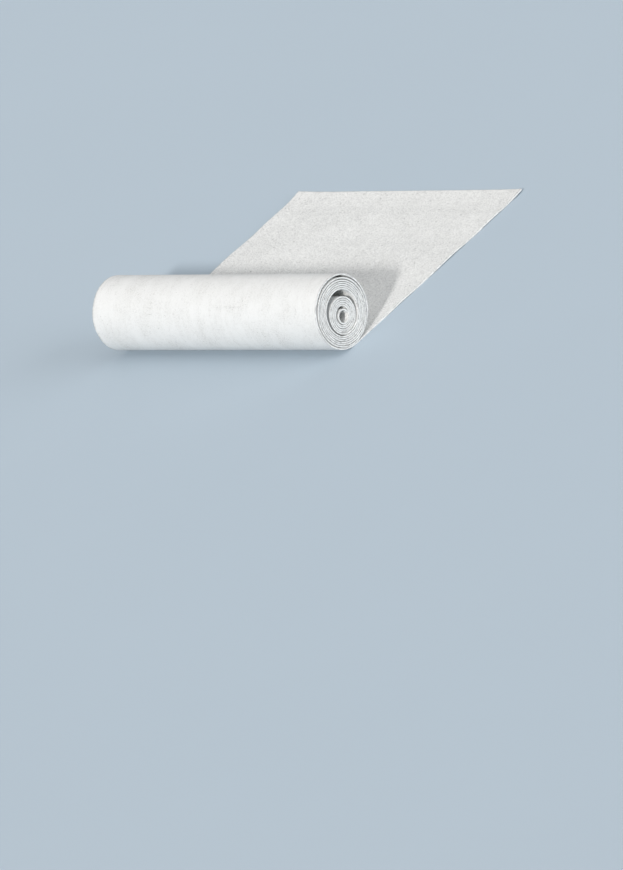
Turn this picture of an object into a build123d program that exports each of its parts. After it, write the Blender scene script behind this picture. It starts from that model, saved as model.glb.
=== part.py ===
from build123d import *
import math
import os

# A roll of mineral-surfaced roofing felt, lying on its side with its first stretch laid out flat.
# Millimetres. +X runs along the roll, +Y from the roll towards the end of the laid stretch, +Z up.
# The origin is on the ground, at the middle of the space that the felt covers.

# The felt
felt_width = 1000.0
felt_thickness = 5.0
laid_length = 905.0  # from the line where the roll touches the ground to the felt's outer end

# How it is wound
bore_radius = 20.0  # the round bar that the felt was wound on, since drawn out
outer_turns = 7  # the turns round the core
core_turns = 5
turn_gap = 1.5  # air between turns that rest on each other
sprung_slack = (5.0, 2.0)  # more air over each of the outermost turns, which have sprung open
core_slack = 22.0  # more air over the core, which has slipped down inside the outer turns

# The ends
groove_depth = 35.0  # how far in from each end the air between the turns is open
notch_angle = 30.0  # where the space beside the felt's inner end runs out, up from straight below

pitch = felt_thickness + turn_gap
even_drop = pitch / 4  # what the radius loses at each quarter of a turn
toward_joint = ((-1, 0), (0, 1), (1, 0), (0, -1))  # front, top, back, ground: (y, z)


def radius_drops():
    """What the radius loses at the end of each quarter turn, from the ground line inwards."""
    slacks = [0.0] * (outer_turns + core_turns)
    slacks[: len(sprung_slack)] = sprung_slack
    slacks[outer_turns - 1] += core_slack
    drops = []
    for slack in slacks:
        drops += [even_drop, even_drop, even_drop, even_drop + slack / 2]
    drops[-1] = pitch  # the innermost turn is a plain ring that has sunk onto the turn round it
    return drops


drops = radius_drops()
outer_radius = bore_radius + felt_thickness + sum(drops)
ground_line_y = (outer_radius - laid_length) / 2  # centres the whole on the origin


def quarter_turns():
    """The felt's outer face as quarter arcs: (centre y, centre z, radius, angle where it starts).

    Neighbouring arcs share a tangent where they meet, because the centre moves along the radius
    there. At the ground the centre also sinks by half a turn's slack, so that each turn rests on
    the one under it and its slack opens over the top."""
    centre_y, centre_z, radius = ground_line_y, outer_radius, outer_radius
    turns = []
    for quarter in range(len(drops) + 3):
        side = quarter % 4
        turns.append((centre_y, centre_z, radius, -90 - 90 * side))
        if quarter < len(drops):
            step_y, step_z = toward_joint[side]
            centre_y += drops[quarter] * step_y
            centre_z += drops[quarter] * step_z
            radius -= drops[quarter]
    return turns


turns = quarter_turns()
bore_y, bore_z = turns[-1][0], turns[-1][1]


def on_arc(turn, inset, angle):
    """The point at an angle on an arc that lies inset inside a quarter turn's outer face."""
    centre_y, centre_z, radius, _ = turn
    across = math.radians(angle)
    reach = radius - inset
    return (centre_y + reach * math.cos(across), centre_z + reach * math.sin(across))


def arc(turn, inset=0.0, sweep=90.0, backwards=False):
    """A quarter turn's outer face, or with an inset of the thickness its inner face."""
    start_angle = turn[3]
    ends = (start_angle, start_angle - sweep / 2, start_angle - sweep)
    points = [on_arc(turn, inset, angle) for angle in (reversed(ends) if backwards else ends)]
    return ThreePointArc(*points)


def lines(*points):
    return [Line(a, b) for a, b in zip(points, points[1:])]


def section_outline():
    """The roll's outermost turn and the laid stretch, down to where the next turn rests on it."""
    far_end_y = ground_line_y + laid_length
    ground = (ground_line_y, 0)
    nip_top = (ground_line_y, pitch)
    nip_floor = (ground_line_y, felt_thickness)
    outline = lines((far_end_y, 0), ground)
    outline += [arc(turn) for turn in turns[:4]]
    outline += lines(nip_top, nip_floor, (far_end_y, felt_thickness), (far_end_y, 0))
    return make_face(outline)


def air_between_turns():
    """The spiral of air between one turn's inner face and the next turn's outer face, from the
    ground line to the bore, with the space beside the felt's inner end."""
    inner_end, around_notch = turns[-1], turns[-4]
    next_turns = turns[4:]
    previous_turns = turns[: len(next_turns)]
    into_bore = felt_thickness + bore_radius / 4
    back = 0.0
    notch_end = -90.0 + notch_angle
    edges = lines(on_arc(turns[0], felt_thickness, -90.0), on_arc(next_turns[0], 0.0, -90.0))
    edges += [arc(turn) for turn in next_turns]
    edges += lines(
        on_arc(inner_end, 0.0, back),
        on_arc(inner_end, into_bore, back),
        on_arc(inner_end, into_bore, notch_end),
        on_arc(around_notch, felt_thickness, notch_end),
    )
    edges.append(arc(around_notch, felt_thickness, 90.0 - notch_angle, backwards=True))
    edges += [arc(turn, felt_thickness, backwards=True) for turn in reversed(previous_turns)]
    return make_face(edges)


def across(face, start_x, length):
    """A section pushed along the roll from a place on X."""
    return extrude(Plane.YZ.offset(start_x) * face, length)


def roofing_felt():
    half = felt_width / 2
    roll = across(section_outline(), -half, felt_width)
    bore = Plane.YZ.offset(-half) * Pos(bore_y, bore_z) * Circle(bore_radius)
    roll -= extrude(bore, felt_width)
    air = air_between_turns()
    roll -= across(air, half - groove_depth, groove_depth)
    roll -= across(air, -half, groove_depth)
    return roll


def felt_length():
    """The felt's real length along its middle, laid stretch and all."""
    quarters = sum(radius - felt_thickness / 2 for _, _, radius, _ in turns)
    return laid_length + quarters * math.pi / 2


os.makedirs("parts", exist_ok=True)
felt = roofing_felt()
export_step(felt, "parts/roofing_felt.step")
print("outer radius", round(outer_radius, 2), "height", round(felt.bounding_box().max.Z, 2))
print("bore centre y", round(bore_y, 3), "z", round(bore_z, 3), "ground line y", round(ground_line_y, 3))
print("felt length", round(felt_length()), "solids", len(felt.solids()), "valid", felt.is_valid)
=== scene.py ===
import bpy
import math
from mathutils import Matrix, Vector


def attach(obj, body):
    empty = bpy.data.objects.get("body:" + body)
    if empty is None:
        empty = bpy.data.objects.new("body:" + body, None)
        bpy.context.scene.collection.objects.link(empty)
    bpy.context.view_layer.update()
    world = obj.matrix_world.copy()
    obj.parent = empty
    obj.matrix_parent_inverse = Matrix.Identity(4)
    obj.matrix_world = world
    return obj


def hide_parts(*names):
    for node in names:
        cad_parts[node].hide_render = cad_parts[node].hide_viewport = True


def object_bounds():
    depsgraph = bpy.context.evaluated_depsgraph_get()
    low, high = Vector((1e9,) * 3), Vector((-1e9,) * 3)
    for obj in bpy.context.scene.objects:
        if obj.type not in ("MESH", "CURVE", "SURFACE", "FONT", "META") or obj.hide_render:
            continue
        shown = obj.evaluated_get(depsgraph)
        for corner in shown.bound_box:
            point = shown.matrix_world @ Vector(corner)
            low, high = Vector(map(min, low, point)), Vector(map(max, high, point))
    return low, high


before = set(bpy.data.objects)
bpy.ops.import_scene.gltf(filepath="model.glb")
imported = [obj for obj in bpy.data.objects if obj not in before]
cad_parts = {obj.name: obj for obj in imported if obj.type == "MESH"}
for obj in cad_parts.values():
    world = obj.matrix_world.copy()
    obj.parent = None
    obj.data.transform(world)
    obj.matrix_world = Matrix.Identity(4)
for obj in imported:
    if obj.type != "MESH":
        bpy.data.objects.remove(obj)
cadLow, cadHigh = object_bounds()
print("frame loaded:", sorted(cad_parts))

# Everything is in metres. X runs along the roll, Y from the roll to the end of the laid stretch, Z up.
# The felt is made flat first, and then it is wound. In its flat mesh X is the distance from its outer
# end, Z the place across its width, -Y its mineral face and +Y its sanded back.
felt = {
    "thickness": 0.005,
    "laidLength": 0.905,
    "fullTurns": 12,
    "turnGap": 0.0015,
    "turnSlack": (0.005, 0.002, 0.0, 0.0, 0.0, 0.0, 0.022),  # more air over each turn, the outermost first
    "edgeBevel": 0.0007,
    "edgeColumns": (0.0025, 0.006, 0.012),  # distances from the long edges where the mesh is finer
    "tightRadius": 0.060,  # turns smaller than this get twice as many rows
    "endDepth": 0.050,  # how far in from both ends of the roll the inner turns are a mesh of their own
    "smoothAngle": 40,
    "arcSteps": 48,  # steps that the path takes along each quarter turn
}
outerPart = {"cellAlong": 0.0070, "cellsAcross": 96}
innerPart = {"cellAlong": 0.0080, "cellsAcross": 36}

# How the felt lies and how it was wound
lie = {
    # (distance from the outer end, height, how far it spreads)
    "ripples": ((0.17, 0.0022, 0.12), (0.40, 0.0032, 0.15), (0.66, 0.0018, 0.11)),
    # (distance from the outer end, place across, height, how far it spreads)
    "swells": ((0.25, -0.22, 0.0035, 0.20), (0.52, 0.27, 0.0030, 0.22), (0.74, -0.31, 0.0028, 0.16)),
    "swellTop": 0.02,  # how far to each side a swell is lifted as a whole
    "endCurl": (0.0045, 0.10),
    # (place across, height, how far it spreads)
    "cornerCurls": ((-0.5, 0.0030, 0.15), (0.5, 0.0020, 0.12)),
    "cornerSize": 0.01,
    "coreSlide": (0.0045, 0.30),  # how far the core has slid along the roll, and over what length of felt
    # (name, axis in the flat mesh, strength, size of the clouds, how they are stretched, what they act on)
    "sways": (
        ("cutWobble", "X", 0.0016, 0.05, (1, 1, 1), "outerEnd"),  # the cut isn't quite straight
        ("slide", "Z", 0.0035, 0.55, (1, 1, 40), ""),  # the turns have slid along X, over a long way
        ("slip", "Z", 0.0040, 0.10, (1, 1, 40), ""),  # and over a short one
        ("outOfRound", "Y", 0.0016, 0.09, (1, 1, 6), "wound"),
        ("buckles", "Y", 0.0007, 0.024, (1, 1, 8), "wound"),  # small dents across the wound felt
    ),
    "woundFrom": (0.02, 0.10),  # from where to where past the ground line what acts on wound felt grows in
    "outerEndReach": 0.03,
}

width = cadHigh.x - cadLow.x
groundLine = cadHigh.y - felt["laidLength"]
outerRadius = cadHigh.y - cadLow.y - felt["laidLength"]
pitch = felt["thickness"] + felt["turnGap"]


def windingArcs():
    # the felt's outer face as quarter arcs (centre y, centre z, radius, side), the ground line first;
    # the centre moves along the radius where two arcs meet, so they share a tangent there
    drops = []  # what the radius loses at the end of each quarter
    for turn in range(felt["fullTurns"]):
        slack = felt["turnSlack"][turn] if turn < len(felt["turnSlack"]) else 0.0
        drops += [pitch / 4, pitch / 4, pitch / 4, pitch / 4 + slack / 2]
    drops[-1] = pitch  # the innermost turn is a plain ring that has sunk onto the turn round it
    towardJoint = ((-1, 0), (0, 1), (1, 0), (0, -1))  # front, top, back, ground
    y, z, radius = groundLine, outerRadius, outerRadius
    arcs = []
    for quarter in range(len(drops) + 3):
        side = quarter % 4
        arcs.append((y, z, radius, side))
        if quarter < len(drops):
            y += drops[quarter] * towardJoint[side][0]
            z += drops[quarter] * towardJoint[side][1]
            radius -= drops[quarter]
    return arcs


arcs = windingArcs()
middle = felt["thickness"] / 2
arcLengths = [(radius - middle) * math.pi / 2 for _, _, radius, _ in arcs]
firstTurnEnd = felt["laidLength"] + sum(arcLengths[:4])
coreStart = felt["laidLength"] + sum(arcLengths[:4 * len(felt["turnSlack"])])
tightStart = felt["laidLength"] + sum(length for length, arc in zip(arcLengths, arcs)
                                      if arc[2] > felt["tightRadius"])
feltLength = felt["laidLength"] + sum(arcLengths)
print("felt length", round(feltLength, 3), "outer radius", round(outerRadius, 4), "bore at", arcs[-1][:2])


def deselect():
    if bpy.context.mode != "OBJECT":
        bpy.ops.object.mode_set(mode="OBJECT")
    bpy.ops.object.select_all(action="DESELECT")


def same(a, b):
    return abs(a - b) < 1e-5


def portion(value, low, high):
    # 0 at low, 1 at high, and no less or more past them
    return min(max((value - low) / (high - low), 0.0), 1.0)


def pickPlaces(piece, kind, test):
    # selects the vertices, edges or faces whose places pass the test, and stays in edit mode
    bpy.ops.object.mode_set(mode="EDIT")
    bpy.ops.mesh.select_mode(type=kind)
    bpy.ops.mesh.select_all(action="DESELECT")
    bpy.ops.object.mode_set(mode="OBJECT")
    mesh = piece.data
    if kind == "VERT":
        for vertex in mesh.vertices:
            vertex.select = test(vertex.co)
    if kind == "EDGE":
        for edge in mesh.edges:
            a, b = (mesh.vertices[i].co for i in edge.vertices)
            edge.select = test(a, b)
    if kind == "FACE":
        for face in mesh.polygons:
            face.select = test(face.center)
    bpy.ops.object.mode_set(mode="EDIT")


def applyAll(piece):
    deselect()
    piece.select_set(True)
    bpy.context.view_layer.objects.active = piece
    for modifier in list(piece.modifiers):
        bpy.ops.object.modifier_apply(modifier=modifier.name)


def windingPath():
    # a flat curve along the middle of the felt: the laid stretch, then the quarter arcs
    travel = ((-1, 0), (0, 1), (1, 0), (0, -1))  # the felt's way at the start of each quarter
    handle = 4 / 3 * math.tan(math.pi / 8)  # a quarter arc's handles, for a radius of 1
    straight = felt["laidLength"] / 3
    joints = [(groundLine + felt["laidLength"], middle, travel[0], straight, straight)]
    before = straight
    for y, z, radius, side in arcs:
        reach = radius - middle
        startY = y - travel[side][1] * reach
        startZ = z + travel[side][0] * reach
        joints.append((startY, startZ, travel[side], before, handle * reach))
        before = handle * reach
    y, z, radius, side = arcs[-1]
    last = travel[(side + 1) % 4]
    joints.append((y - last[1] * (radius - middle), z + last[0] * (radius - middle), last, before, before))

    deselect()
    bpy.ops.curve.primitive_bezier_curve_add()
    path = bpy.context.object
    path.name = "windingPath"
    path.data.dimensions = "2D"
    path.data.resolution_u = felt["arcSteps"]
    spline = path.data.splines[0]
    spline.bezier_points.add(len(joints) - 2)
    for point, (y, z, way, before, after) in zip(spline.bezier_points, joints):
        direction = Vector((*way, 0))
        point.handle_left_type = "FREE"
        point.handle_right_type = "FREE"
        point.co = (y, z, 0)
        point.handle_left = point.co - direction * before
        point.handle_right = point.co + direction * after
    return path


def flatFelt(name, start, end, cellAlong, cellsAcross, keep):
    # one layer of felt between two distances from its outer end, or what keep leaves of it
    deselect()
    cellsAlong = round((end - start) / cellAlong)
    bpy.ops.mesh.primitive_grid_add(x_subdivisions=cellsAlong, y_subdivisions=cellsAcross, size=1,
                                    calc_uvs=False, rotation=(math.pi / 2, 0, 0),
                                    location=((start + end) / 2, 0, 0))
    piece = bpy.context.object
    piece.name = name
    piece.data.name = name
    piece.scale = (end - start, width, 1)
    bpy.ops.object.transform_apply(location=True, rotation=True, scale=True)
    bpy.ops.object.mode_set(mode="EDIT")
    for inset in (*felt["edgeColumns"], felt["endDepth"]):
        for side in (-1, 1):
            bpy.ops.mesh.select_all(action="SELECT")
            bpy.ops.mesh.bisect(plane_co=(0, 0, side * (width / 2 - inset)), plane_no=(0, 0, 1))
    if keep is not None:
        pickPlaces(piece, "FACE", lambda co: not keep(abs(co.z)))
        bpy.ops.mesh.delete(type="FACE")
    if tightStart < end:
        pickPlaces(piece, "EDGE", lambda a, b: min(a.x, b.x) > tightStart and same(a.z, b.z))
        bpy.ops.mesh.subdivide(number_cuts=1)
    deselect()
    return piece


def giveWall(piece):
    # the felt's thickness, with a material slot each for the mineral face, the back and the cut edges
    for slot in range(3):
        piece.data.materials.append(None)
    wall = piece.modifiers.new("wall", "SOLIDIFY")
    wall.thickness = felt["thickness"]
    wall.offset = 0
    wall.material_offset = 1
    wall.material_offset_rim = 2
    applyAll(piece)


def wearEdges(piece):
    # the long edges and the felt's own two ends are worn round, the seams between the parts aren't
    def isWorn(a, b):
        onFace = same(a.y, b.y)
        onLongEdge = same(abs(a.z), width / 2) and same(abs(b.z), width / 2)
        if same(a.x, b.x):
            return (same(a.x, 0) or same(a.x, feltLength)) and (onFace or onLongEdge)
        return onLongEdge and onFace

    pickPlaces(piece, "EDGE", isWorn)
    bpy.ops.mesh.bevel(offset=felt["edgeBevel"], segments=2, affect="EDGES")
    deselect()


def noteFlatPlace(piece):
    # across, along and through the flat felt, for patterns that follow it round the roll
    flatPlace = piece.data.attributes.new("flatPlace", "FLOAT_VECTOR", "POINT")
    for item, vertex in zip(flatPlace.data, piece.data.vertices):
        item.vector = (vertex.co.z, vertex.co.x, 0.5 + vertex.co.y / felt["thickness"])


def raiseLaid(piece):
    # ripples, swells and the curled end of the laid stretch, each pulled up with a soft falloff
    def pull(test, height, spread, falloff="SMOOTH"):
        pickPlaces(piece, "VERT", test)
        bpy.ops.transform.translate(value=(0, -height, 0), use_proportional_edit=True,
                                    proportional_edit_falloff=falloff, proportional_size=spread)

    cell = outerPart["cellAlong"]
    for along, height, spread in lie["ripples"]:
        pull(lambda co: abs(co.x - along) < cell * 0.6, height, spread)  # the nearest row, or two of them
    for along, across, height, spread in lie["swells"]:
        pull(lambda co: abs(co.x - along) < cell and abs(co.z - across) < lie["swellTop"], height, spread)
    height, spread = lie["endCurl"]
    pull(lambda co: co.x < felt["edgeBevel"] * 1.5, height, spread, "SHARP")  # the cut and its worn edges
    for across, height, spread in lie["cornerCurls"]:
        pull(lambda co: co.x < lie["cornerSize"] and abs(co.z - across) < lie["cornerSize"],
             height, spread, "SHARP")
    deselect()


def slideCore(piece):
    # the core has slid a little along the roll, so its end stands back from the turns round it
    slide, spread = lie["coreSlide"]
    pickPlaces(piece, "VERT", lambda co: co.x > coreStart + spread / 2)
    bpy.ops.transform.translate(value=(0, 0, -slide), use_proportional_edit=True,
                                proportional_edit_falloff="SMOOTH", proportional_size=spread)
    deselect()


def sway(piece, name, direction, strength, size, stretch, group):
    # an applied Displace with clouds, which are stretched by the scale of an empty
    clouds = bpy.data.textures.new(name, "CLOUDS")
    clouds.noise_scale = size
    clouds.noise_depth = 1
    place = bpy.data.objects.new(name + "Place", None)
    bpy.context.scene.collection.objects.link(place)
    place.scale = stretch
    modifier = piece.modifiers.new(name, "DISPLACE")
    modifier.texture = clouds
    modifier.texture_coords = "OBJECT"
    modifier.texture_coords_object = place
    modifier.direction = direction
    modifier.mid_level = 0.5
    modifier.strength = strength
    modifier.vertex_group = group
    applyAll(piece)
    bpy.data.objects.remove(place)
    bpy.data.textures.remove(clouds)


def swayAll(piece):
    wound = piece.vertex_groups.new(name="wound")
    outerEnd = piece.vertex_groups.new(name="outerEnd")
    woundLow, woundHigh = (felt["laidLength"] + past for past in lie["woundFrom"])
    for vertex in piece.data.vertices:
        wound.add([vertex.index], portion(vertex.co.x, woundLow, woundHigh), "REPLACE")
        outerEnd.add([vertex.index], 1 - portion(vertex.co.x, 0, lie["outerEndReach"]), "REPLACE")
    for settings in lie["sways"]:
        sway(piece, *settings)
    piece.vertex_groups.clear()


def windUp(piece, path):
    wind = piece.modifiers.new("wind", "CURVE")
    wind.object = path
    wind.deform_axis = "POS_X"
    applyAll(piece)
    piece.rotation_euler = (math.pi / 2, 0, math.pi / 2)  # the curve's flat X, Y and Z become Y, Z and X
    bpy.ops.object.transform_apply(location=False, rotation=True, scale=False)
    bpy.ops.object.shade_smooth_by_angle(angle=math.radians(felt["smoothAngle"]))


def feltPart(name, start, end, path, cellAlong, cellsAcross, keep=None):
    # the finished felt between two distances from its outer end;
    # keep is a test on the distance from the middle of its width
    piece = flatFelt(name, start, end, cellAlong, cellsAcross, keep)
    giveWall(piece)
    wearEdges(piece)
    noteFlatPlace(piece)
    if start < felt["laidLength"]:
        raiseLaid(piece)
    if end > coreStart:
        slideCore(piece)
    swayAll(piece)
    windUp(piece, path)
    return piece


def nearEnds(across):
    return across > width / 2 - felt["endDepth"]


def farFromEnds(across):
    return not nearEnds(across)


path = windingPath()
feltParts = (
    feltPart("feltLaidOut", 0.0, felt["laidLength"], path, **outerPart),
    feltPart("feltFirstTurn", felt["laidLength"], firstTurnEnd, path, **outerPart),
    feltPart("feltTurnEnds", firstTurnEnd, feltLength, path, keep=nearEnds, **innerPart),
    feltPart("feltInnerTurns", firstTurnEnd, feltLength, path, keep=farFromEnds, **innerPart),
)
print("felt parts", [(piece.name, len(piece.data.polygons)) for piece in feltParts])
bpy.data.objects.remove(path)


class Wire:
    # a socket of a shader tree that adds, multiplies and compares as a number does
    def __init__(self, finish, socket):
        self.finish = finish
        self.socket = socket

    def maths(self, operation, *values, clamp=False):
        settings = {"operation": operation, "use_clamp": clamp}
        return self.finish.node("ShaderNodeMath", settings, dict(enumerate(values)))["Value"]

    def __add__(self, other):
        return self.maths("ADD", self, other)

    def __radd__(self, other):
        return self.maths("ADD", other, self)

    def __sub__(self, other):
        return self.maths("SUBTRACT", self, other)

    def __rsub__(self, other):
        return self.maths("SUBTRACT", other, self)

    def __mul__(self, other):
        return self.maths("MULTIPLY", self, other)

    def __rmul__(self, other):
        return self.maths("MULTIPLY", other, self)

    def __gt__(self, other):
        return self.maths("GREATER_THAN", self, other)

    def clamped(self):
        return self.maths("ADD", self, 0.0, clamp=True)

    def size(self):
        return self.maths("ABSOLUTE", self)


def weighed(weights, *wires):
    # the wires added up, each times its weight
    parts = [wire * weight for wire, weight in zip(wires, weights)]
    return sum(parts[1:], parts[0])


class Finish:
    # one material, with its tree and its shader
    shaderSockets = {"colour": "Base Color", "roughness": "Roughness", "normal": "Normal",
                     "shine": "Specular IOR Level"}
    mixShare, mixFirst, mixSecond = 0, 6, 7  # a Mix node's inputs for colours, which share their names

    def __init__(self, name):
        self.material = bpy.data.materials.new(name)
        self.material.use_nodes = True
        self.tree = self.material.node_tree
        self.shader = next(n for n in self.tree.nodes if n.type == "BSDF_PRINCIPLED")

    def plug(self, value, socket):
        if isinstance(value, Wire):
            self.tree.links.new(value.socket, socket)
        elif socket.type == "RGBA":
            socket.default_value = (*value, 1)
        else:
            socket.default_value = value

    def node(self, kind, settings, sockets):
        made = self.tree.nodes.new(kind)
        for name, value in settings.items():
            if name == "stops":
                self.setStops(made.color_ramp, value)
            else:
                setattr(made, name, value)
        for name, value in sockets.items():
            self.plug(value, made.inputs[name])
        return {output.name: Wire(self, output) for output in made.outputs if output.enabled}

    def setStops(self, ramp, stops):
        while len(ramp.elements) < len(stops):
            ramp.elements.new(0.5)
        for element, (at, colour) in zip(ramp.elements, stops):
            element.position = at
            element.color = (*colour, 1)

    def give(self, **sockets):
        # what the shader gets: a link or a plain value for each named socket
        for name, value in sockets.items():
            self.plug(value, self.shader.inputs[self.shaderSockets[name]])

    def place(self):
        return self.node("ShaderNodeTexCoord", {}, {})["Object"]

    def flatPlace(self):
        # across (X), along (Y) and through the felt (Z, from 0 on the mineral face to 1 on the back)
        vector = self.node("ShaderNodeAttribute", {"attribute_name": "flatPlace"}, {})["Vector"]
        return self.node("ShaderNodeSeparateXYZ", {}, {"Vector": vector})

    def together(self, across, along, through=0.0):
        # a place in the flat felt, for patterns that follow it round the roll
        return self.node("ShaderNodeCombineXYZ", {}, {"X": across, "Y": along, "Z": through})["Vector"]

    def red(self, colour):
        return self.node("ShaderNodeSeparateColor", {}, {"Color": colour})["Red"]

    def noise(self, place, size, detail=3.0, rough=0.55, stretch=None):
        if stretch is not None:
            place = self.node("ShaderNodeMapping", {}, {"Vector": place, "Scale": stretch})["Vector"]
        return self.node("ShaderNodeTexNoise", {"noise_dimensions": "3D"},
                         {"Vector": place, "Scale": 1 / size, "Detail": detail, "Roughness": rough})["Fac"]

    def cells(self, place, size):
        return self.node("ShaderNodeTexVoronoi", {"voronoi_dimensions": "3D", "feature": "F1"},
                         {"Vector": place, "Scale": 1 / size})

    def spots(self, place, size, share, reach, ragged=0.0):
        # 1 in the middle of a share of the cells and 0 past their reach, which ragged shortens
        cells = self.cells(place, size)
        inside = self.between(cells["Distance"] + ragged, reach, (1.0, 0.0))
        return (self.red(cells["Color"]) > 1 - share) * inside

    def between(self, value, limits, ends=(0.0, 1.0)):
        # goes softly from one end to the other while the value crosses its limits
        return self.node("ShaderNodeMapRange", {"interpolation_type": "SMOOTHSTEP"},
                         {"Value": value, "From Min": limits[0], "From Max": limits[1],
                          "To Min": ends[0], "To Max": ends[1]})["Result"]

    def nearEdge(self, across, reach):
        # 1 on the felt's long edges, 0 past the reach from them
        return self.between(width / 2 - across.size(), (0.0, reach), (1.0, 0.0))

    def ramp(self, value, stops):
        return self.node("ShaderNodeValToRGB", {"stops": stops}, {"Fac": value})["Color"]

    def mix(self, share, first, second):
        return self.node("ShaderNodeMix", {"data_type": "RGBA"},
                         {self.mixShare: share, self.mixFirst: first, self.mixSecond: second})["Result"]

    def shade(self, colour, factor):
        # a colour made lighter or darker by a number
        return self.node("ShaderNodeVectorMath", {"operation": "SCALE"},
                         {"Vector": colour, "Scale": factor})["Vector"]

    def bump(self, height, depth, strength, under=None):
        sockets = {"Height": height, "Distance": depth, "Strength": strength}
        if under is not None:
            sockets["Normal"] = under
        return self.node("ShaderNodeBump", {}, sockets)["Normal"]


mineral = {
    "grainSize": 0.0016,
    "darkChip": (0.34, 0.34, 0.34),
    "greyChip": (0.66, 0.66, 0.65),
    "paleChip": (0.90, 0.90, 0.88),
    "whiteChip": (0.95, 0.95, 0.935),
    "darkShare": 0.04,  # of the grains
    "greyShare": 0.20,  # dark ones included
    "patchSize": 0.0048,  # a few grains of one tone
    "clusters": {"size": 0.009, "rough": 0.6},
    "bands": {"size": 0.035, "stretch": (1, 0.05, 0.05)},  # stripes along the felt, left by the mill
    "clouds": {"size": 0.20},
    "lightness": 0.73,
    "lightnessFrom": (0.10, 0.12, 0.12, 0.12),  # what clouds, clusters, bands and patches add to it
    "bitumen": (0.10, 0.098, 0.095),
    "grainEdge": (0.52, 0.78),  # from where to where in a grain's cell the bitumen beside it comes through
    "bareSpots": {"size": 0.016, "share": 0.22, "reach": (0.22, 0.34)},
    "bareSpotRagged": 0.3,  # how much clusters of grains shorten a bare spot's reach
    "edgeLoss": 0.005,  # how far in from the long edges granules have come off
    "edgeLossFrom": (0.45, 0.6),
    "bareFrom": (0.42, 0.55, 0.5),  # how bare it is between grains, in bare spots and at the long edges
    "heightFrom": (-0.8, -0.5, 0.4),  # what a grain's slope, bare bitumen and patches add to the height
    "roughness": (0.95, 0.80),  # of the darkest grains and of the palest
    "shine": 0.3,
    "relief": (0.0007, 0.6),  # depth and strength
    "clusterRelief": (0.0008, 0.35),
}


def mineralFace():
    # the weather side: pale crushed stone pressed into the bitumen
    f = Finish("mineralFace")
    place = f.place()
    grains = f.cells(place, mineral["grainSize"])
    tone = f.red(grains["Color"])
    patchTone = f.red(f.cells(place, mineral["patchSize"])["Color"])
    clouds = f.noise(place, **mineral["clouds"])
    clusters = f.noise(place, **mineral["clusters"])
    bands = f.noise(place, **mineral["bands"])
    stone = f.ramp(tone, ((0.0, mineral["darkChip"]), (mineral["darkShare"], mineral["greyChip"]),
                          (mineral["greyShare"], mineral["paleChip"]), (1.0, mineral["whiteChip"])))

    gaps = f.between(grains["Distance"], mineral["grainEdge"])
    bareSpots = f.spots(place, ragged=clusters * mineral["bareSpotRagged"], **mineral["bareSpots"])
    patchy = f.between(clusters, mineral["edgeLossFrom"])
    edgeLoss = f.nearEdge(f.flatPlace()["X"], mineral["edgeLoss"]) * patchy
    bare = weighed(mineral["bareFrom"], gaps, bareSpots, edgeLoss).clamped()

    lightness = mineral["lightness"] + weighed(mineral["lightnessFrom"], clouds, clusters, bands, patchTone)
    height = weighed(mineral["heightFrom"], grains["Distance"], bare, patchTone)
    under = f.bump(clusters, *mineral["clusterRelief"])
    f.give(colour=f.shade(f.mix(bare, stone, mineral["bitumen"]), lightness),
           roughness=f.between(tone, (0.0, 1.0), mineral["roughness"]), shine=mineral["shine"],
           normal=f.bump(height, *mineral["relief"], under))
    return f.material


backing = {
    "sandSize": 0.0015,
    "darkSand": (0.40, 0.395, 0.38),
    "sand": (0.62, 0.615, 0.60),
    "paleSand": (0.76, 0.755, 0.735),
    "darkShare": 0.10,  # of the grains of sand
    "greyShare": 0.35,  # dark ones included
    "talc": (0.80, 0.80, 0.79),
    # the talc was wiped on along the felt
    "streaks": {"size": 0.016, "stretch": (1, 0.10, 1), "detail": 6.0, "rough": 0.65},
    "drifts": {"size": 0.075, "stretch": (1, 0.6, 1), "detail": 8.0, "rough": 0.65},
    "powder": {"size": 0.010, "rough": 0.6},
    "coverFrom": (0.30, 0.45, 0.25),  # the shares of streaks, drifts and powder in how the talc lies
    "talcFrom": (0.38, 0.58),
    "talcCover": (0.15, 0.85),  # least and most
    "rubbed": (0.30, 0.30, 0.29),
    "scuffs": {"size": 0.0045, "stretch": (1, 0.09, 1)},
    "scuffFrom": (0.68, 0.78),
    "scuffWhere": (0.50, 0.60),  # scuffs show where the drifts are thick
    "creases": {"size": 0.009, "stretch": (0.05, 1, 1)},  # fine ones across the felt, from the winding
    "creaseFrom": (0.62, 0.76),
    "creaseWhere": (0.42, 0.54),  # creases show where the drifts are thin
    "creaseBroken": (0.40, 0.60),
    "pits": {"size": 0.019, "share": 0.55, "reach": (0.04, 0.085)},
    "edgeRub": 0.007,  # how far in from the long edges the talc has been rubbed off
    "edgeRubFrom": (0.35, 0.55),
    "rubbedFrom": (0.40, 0.40, 0.8, 0.6),  # how bare scuffs, creases, pits and the long edges are
    "lightness": 0.92,
    "driftLightness": 0.12,
    "talcFill": 0.6,  # how far talc evens out the sand
    "rubbedDip": 0.4,
    "driftRise": 0.6,
    "roughness": 0.92,
    "shine": 0.25,
    "relief": (0.0006, 0.55),  # depth and strength
    "creaseRelief": (0.0012, 0.35),
}


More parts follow.
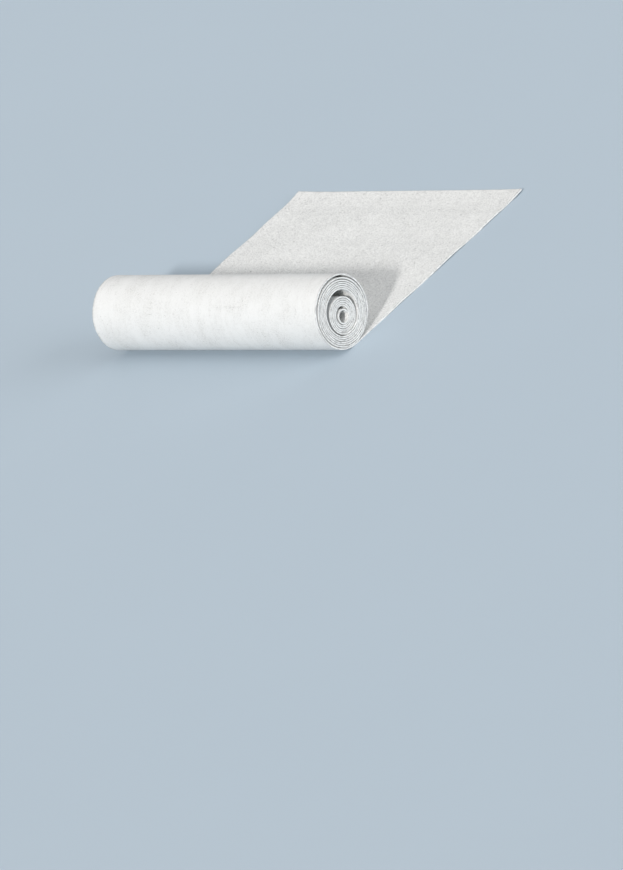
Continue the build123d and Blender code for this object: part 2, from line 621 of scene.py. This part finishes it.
def sandedBack():
    # the side that goes down on the roof: bitumen under fine sand, with talc wiped over it
    f = Finish("sandedBack")
    place = f.place()
    flat = f.flatPlace()
    surface = f.together(flat["X"], flat["Y"])
    sand = f.cells(place, backing["sandSize"])
    sandColour = f.ramp(f.red(sand["Color"]),
                        ((0.0, backing["darkSand"]), (backing["darkShare"], backing["sand"]),
                         (backing["greyShare"], backing["paleSand"]), (1.0, backing["talc"])))
    streaks = f.noise(surface, **backing["streaks"])
    drifts = f.noise(surface, **backing["drifts"])
    powder = f.noise(place, **backing["powder"])
    cover = weighed(backing["coverFrom"], streaks, drifts, powder)
    talc = f.between(cover, backing["talcFrom"], backing["talcCover"])
    dusted = f.mix(talc, sandColour, backing["talc"])

    scuffs = f.between(f.noise(surface, **backing["scuffs"]), backing["scuffFrom"])
    scuffed = scuffs * f.between(drifts, backing["scuffWhere"])
    creases = f.between(f.noise(surface, **backing["creases"]), backing["creaseFrom"])
    creased = creases * f.between(drifts, backing["creaseWhere"], (1.0, 0.0))
    brokenCreases = creased * f.between(powder, backing["creaseBroken"])
    pits = f.spots(place, **backing["pits"])
    edgeRub = f.nearEdge(flat["X"], backing["edgeRub"]) * f.between(powder, backing["edgeRubFrom"])
    rubbed = weighed(backing["rubbedFrom"], scuffed, brokenCreases, pits, edgeRub).clamped()

    lightness = backing["lightness"] + drifts * backing["driftLightness"]
    height = (1 - sand["Distance"]) * (1 - talc * backing["talcFill"]) - rubbed * backing["rubbedDip"]
    under = f.bump(creased + drifts * backing["driftRise"], *backing["creaseRelief"])
    f.give(colour=f.shade(f.mix(rubbed, dusted, backing["rubbed"]), lightness),
           roughness=backing["roughness"], shine=backing["shine"],
           normal=f.bump(height, *backing["relief"], under))
    return f.material


cut = {
    "layers": (
        # where each layer starts and ends, from 0 on the mineral face to 1 on the back, and its colour
        (0.00, 0.17, mineral["paleChip"]),
        (0.22, 0.43, (0.12, 0.118, 0.115)),  # bitumen
        (0.47, 0.53, (0.60, 0.58, 0.54)),  # the carrier inside it
        (0.57, 0.86, (0.12, 0.118, 0.115)),
        (0.92, 1.00, backing["talc"]),
    ),
    "layerBlur": 0.14,  # how far grit moves the places where layers meet
    "dust": (0.82, 0.82, 0.805),
    "grit": {"size": 0.0012, "detail": 2.0},
    "smears": {"size": 0.0032, "stretch": (1, 0.16, 1), "detail": 4.0, "rough": 0.7},
    "coverFrom": (0.75, 0.25),  # the shares of smears and grit in how the dust lies
    "dustFrom": (0.34, 0.56),
    "dustCover": (0.22, 0.95),  # least and most
    "lightness": 0.88,
    "gritLightness": 0.24,
    "roughness": 0.9,
    "shine": 0.25,
    "relief": (0.0005, 0.5),  # depth and strength
    "smearRelief": (0.0008, 0.4),
}


def cutEdge():
    # the layers across the felt's thickness, and over them the dust that the knife and the winding left
    f = Finish("cutEdge")
    flat = f.flatPlace()
    grit = f.noise(f.place(), **cut["grit"])
    smears = f.noise(f.together(flat["X"], flat["Y"], flat["Z"] * felt["thickness"]), **cut["smears"])
    stops = [(at, colour) for start, end, colour in cut["layers"] for at in (start, end)]
    layers = f.ramp(flat["Z"] + (grit - 0.5) * cut["layerBlur"], stops)
    cover = weighed(cut["coverFrom"], smears, grit)
    dusted = f.mix(f.between(cover, cut["dustFrom"], cut["dustCover"]), layers, cut["dust"])

    lightness = cut["lightness"] + grit * cut["gritLightness"]
    under = f.bump(smears, *cut["smearRelief"])
    f.give(colour=f.shade(dusted, lightness), roughness=cut["roughness"], shine=cut["shine"],
           normal=f.bump(grit, *cut["relief"], under))
    return f.material


finishes = (mineralFace(), sandedBack(), cutEdge())
for piece in feltParts:
    for slot, material in enumerate(finishes):
        piece.data.materials[slot] = material
    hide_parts("roofing_felt")
    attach(piece, "root")
print("finishes made")

# The floor, the lamps and the camera
ground = {
    "size": 120.0,
    "colour": (0.47, 0.55, 0.62),
    "clouds": {"size": 0.8},
    "specks": {"size": 0.004, "detail": 2.0},
    "lightness": 0.985,
    "lightnessFrom": (0.02, 0.01),  # what clouds and specks add to it
    "roughness": 0.9,
    "shine": 0.2,
}
studio = {
    "roomColour": (0.93, 0.965, 1.0),
    "roomLight": 0.25,
    "lampDistance": 4.0,
    "lamps": (
        # name, degrees round from the front to the right, degrees up, degrees across, light, colour
        ("key", 25.0, 27.0, 5.5, 2.5, (1.0, 0.985, 0.965)),
        ("top", 60.0, 75.0, 60.0, 0.68, (1.0, 1.0, 1.0)),
        ("side", 100.0, 15.0, 45.0, 1.4, (0.97, 0.985, 1.0)),
        ("back", 205.0, 35.0, 60.0, 0.45, (0.97, 0.985, 1.0)),
    ),
}


def toward(azimuth, elevation):
    # the direction to a place that is so many degrees round from the front and up
    turn, rise = math.radians(azimuth), math.radians(elevation)
    return Vector((math.sin(turn) * math.cos(rise), -math.cos(turn) * math.cos(rise), math.sin(rise)))


def makeFloor():
    deselect()
    bpy.ops.mesh.primitive_plane_add(size=ground["size"])
    floor = bpy.context.object
    floor.name = "floor"
    f = Finish("floorPaint")
    clouds, specks = (f.noise(f.place(), **ground[name]) for name in ("clouds", "specks"))
    lightness = ground["lightness"] + weighed(ground["lightnessFrom"], clouds, specks)
    f.give(colour=f.shade(ground["colour"], lightness), roughness=ground["roughness"], shine=ground["shine"])
    floor.data.materials.append(f.material)


def makeLamps():
    world = bpy.data.worlds.new("softRoom")
    bpy.context.scene.world = world
    world.use_nodes = True
    background = next(n for n in world.node_tree.nodes if n.type == "BACKGROUND")
    background.inputs["Color"].default_value = (*studio["roomColour"], 1)
    background.inputs["Strength"].default_value = studio["roomLight"]
    for name, azimuth, elevation, across, light, colour in studio["lamps"]:
        data = bpy.data.lights.new(name, "SUN")
        data.angle = math.radians(across)
        data.energy = light
        data.color = colour
        lamp = bpy.data.objects.new(name, data)
        bpy.context.scene.collection.objects.link(lamp)
        lamp.location = toward(azimuth, elevation) * studio["lampDistance"]
        lamp.rotation_euler = toward(azimuth, elevation).to_track_quat("Z", "Y").to_euler()


shot = {
    "azimuth": 49.4,
    "elevation": 22.9,
    "roll": -24.2,  # the picture is turned so that the roll of felt lies level in it
    "lens": 600.0,
    "sensor": 36.0,
    "picture": (623, 870),
    "pixelsPerMetre": 313.5,
    "groundLineAt": (244.8, 344.1),  # where the middle of the roll's ground line falls in the picture
}


def makeCamera():
    back = toward(shot["azimuth"], shot["elevation"])
    data = bpy.data.cameras.new("camera")
    data.lens = shot["lens"]
    data.sensor_width = shot["sensor"]
    camera = bpy.data.objects.new("camera", data)
    bpy.context.scene.collection.objects.link(camera)
    level = (-back).to_track_quat("-Z", "Y").to_matrix()
    turn = level @ Matrix.Rotation(math.radians(shot["roll"]), 3, "Z")
    wide, high = shot["picture"]
    scale = shot["pixelsPerMetre"]
    offRight = (wide / 2 - shot["groundLineAt"][0]) / scale
    offUp = (shot["groundLineAt"][1] - high / 2) / scale
    aim = Vector((0, groundLine, 0)) + turn.col[0] * offRight + turn.col[1] * offUp
    camera.rotation_euler = turn.to_euler()
    camera.location = aim + back * (high / scale * shot["lens"] / shot["sensor"])
    bpy.context.scene.camera = camera


makeFloor()
makeLamps()
makeCamera()
bpy.context.scene.view_settings.view_transform = "Standard"
print("studio made")

print("cad box", [round(v, 4) for v in (*cadLow, *cadHigh)])
